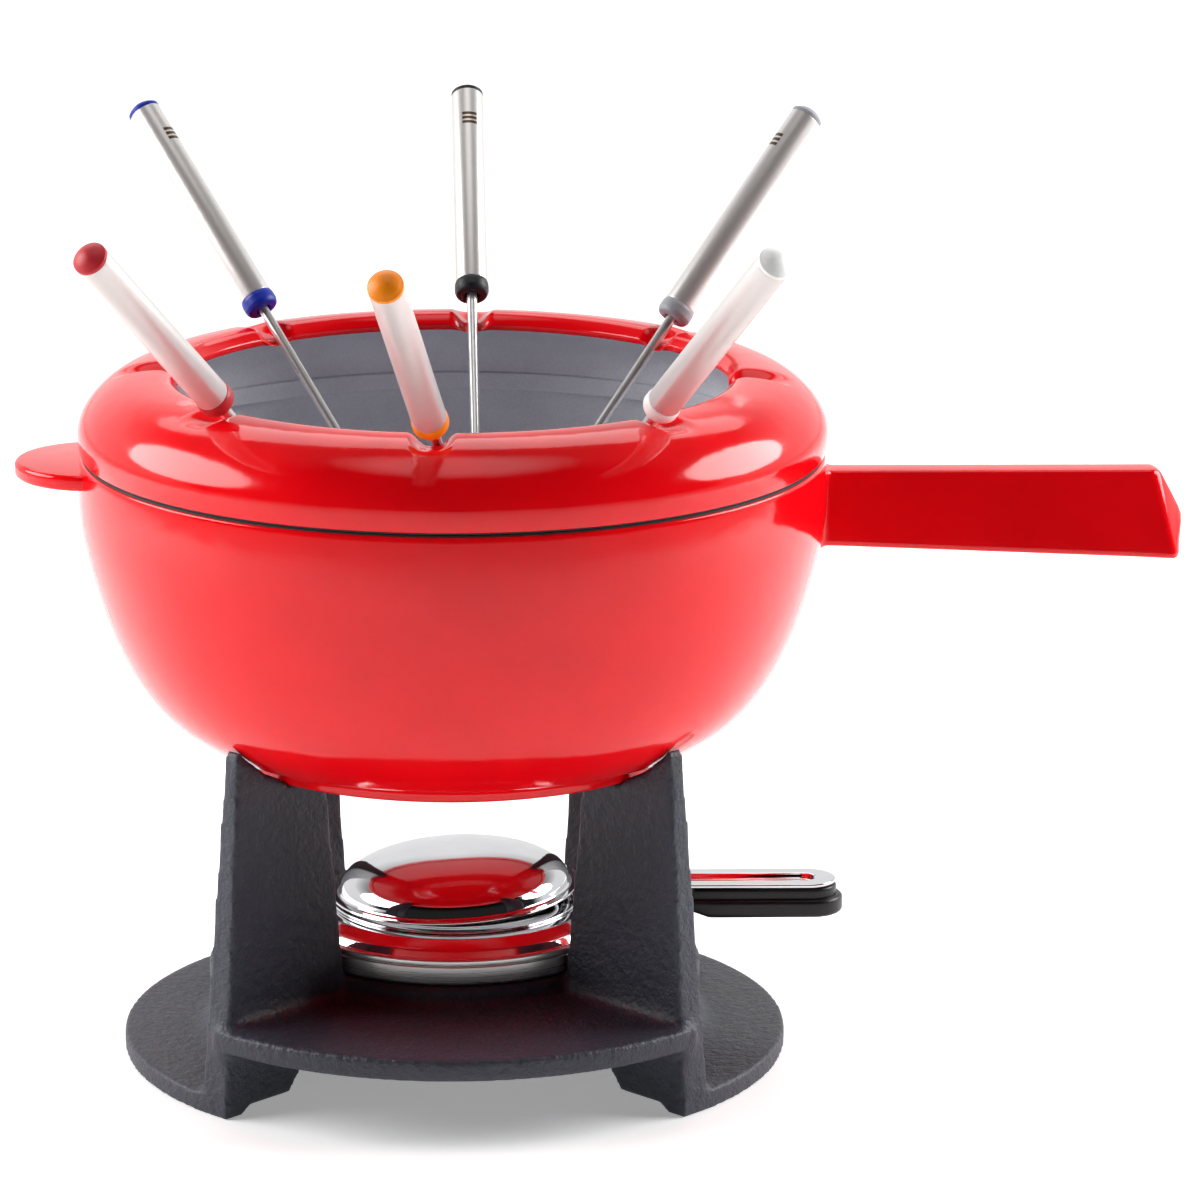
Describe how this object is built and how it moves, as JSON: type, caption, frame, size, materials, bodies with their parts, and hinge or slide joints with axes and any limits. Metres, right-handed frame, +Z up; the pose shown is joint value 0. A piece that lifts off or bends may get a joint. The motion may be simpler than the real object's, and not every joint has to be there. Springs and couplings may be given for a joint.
{
  "type": "fondue pot set",
  "caption": "Enamelled cast-iron fondue pot with bar handle and loose splash ring, forks in its notches, on a four-fin cast stand over a paste burner with domed lid.",
  "frame": {"origin": "the pot's axis at table level", "axes": "+Z up, +X along the pot handle and the burner grip, +Y to the back"},
  "size_m": [0.3458, 0.3016, 0.2706],
  "materials": {
    "cast_black": "matte black coating on a sand-cast surface",
    "enamel_red": "gloss vitreous enamel",
    "enamel_grey": "satin vitreous enamel of the inside",
    "brushed_steel": "satin brushed",
    "polished_steel": "mirror polished",
    "fork_steel": "polished drawn rod",
    "gauze_steel": "woven wire",
    "wick": "mineral felt",
    "grip_black": "satin moulded",
    "cap_blue": "moulded, slightly satin",
    "cap_black": "moulded, slightly satin",
    "cap_grey": "moulded, slightly satin",
    "cap_red": "moulded, slightly satin",
    "cap_orange": "moulded, slightly satin",
    "cap_white": "moulded, slightly satin"
  },
  "bodies": {
    "stand": {"stand": "cast_black"},
    "pot": {"pot": "enamel_red"},
    "splash_ring": {"splash_ring": "enamel_red"},
    "burner": {"burner_cup": "brushed_steel", "burner_wick_pad": "wick", "burner_gauze": "gauze_steel", "burner_top": "polished_steel", "burner_tang": "polished_steel", "burner_grip": "grip_black", "burner_grip_rivets": "polished_steel"},
    "burner_lid": {"burner_lid": "polished_steel"},
    "fork_blue": {"fork_blue_rod": "fork_steel", "fork_blue_collar": "cap_blue", "fork_blue_handle": "brushed_steel", "fork_blue_cap": "cap_blue"},
    "fork_black": {"fork_black_rod": "fork_steel", "fork_black_collar": "cap_black", "fork_black_handle": "brushed_steel", "fork_black_cap": "cap_black"},
    "fork_grey": {"fork_grey_rod": "fork_steel", "fork_grey_collar": "cap_grey", "fork_grey_handle": "brushed_steel", "fork_grey_cap": "cap_grey"},
    "fork_red": {"fork_red_rod": "fork_steel", "fork_red_collar": "cap_red", "fork_red_handle": "brushed_steel", "fork_red_cap": "cap_red"},
    "fork_orange": {"fork_orange_rod": "fork_steel", "fork_orange_collar": "cap_orange", "fork_orange_handle": "brushed_steel", "fork_orange_cap": "cap_orange"},
    "fork_white": {"fork_white_rod": "fork_steel", "fork_white_collar": "cap_white", "fork_white_handle": "brushed_steel", "fork_white_cap": "cap_white"}
  },
  "joints": [
    {"name": "pot_lift", "type": "slide", "parent": "stand", "child": "pot", "axis": [0, 0, 1], "range_m": [0, 0.15]},
    {"name": "ring_lift", "type": "slide", "parent": "pot", "child": "splash_ring", "axis": [0, 0, 1], "range_m": [0, 0.1]},
    {"name": "burner_lift", "type": "slide", "parent": "stand", "child": "burner", "axis": [0, 0, 1], "range_m": [0, 0.014]},
    {"name": "lid_lift", "type": "slide", "parent": "burner", "child": "burner_lid", "axis": [0, 0, 1], "range_m": [0, 0.018]},
    {"name": "fork_blue_pull", "type": "slide", "parent": "splash_ring", "child": "fork_blue", "axis": [-0.4856, 0.5207, 0.7022], "range_m": [0, 0.16]},
    {"name": "fork_black_pull", "type": "slide", "parent": "splash_ring", "child": "fork_black", "axis": [-0.0152, 0.724, 0.6896], "range_m": [0, 0.16]},
    {"name": "fork_grey_pull", "type": "slide", "parent": "splash_ring", "child": "fork_grey", "axis": [0.5478, 0.4083, 0.7302], "range_m": [0, 0.16]},
    {"name": "fork_red_pull", "type": "slide", "parent": "splash_ring", "child": "fork_red", "axis": [-0.417, -0.6277, 0.6574], "range_m": [0, 0.16]},
    {"name": "fork_orange_pull", "type": "slide", "parent": "splash_ring", "child": "fork_orange", "axis": [-0.1522, -0.7415, 0.6534], "range_m": [0, 0.16]},
    {"name": "fork_white_pull", "type": "slide", "parent": "splash_ring", "child": "fork_white", "axis": [0.3812, -0.642, 0.6652], "range_m": [0, 0.16]}
  ]
}
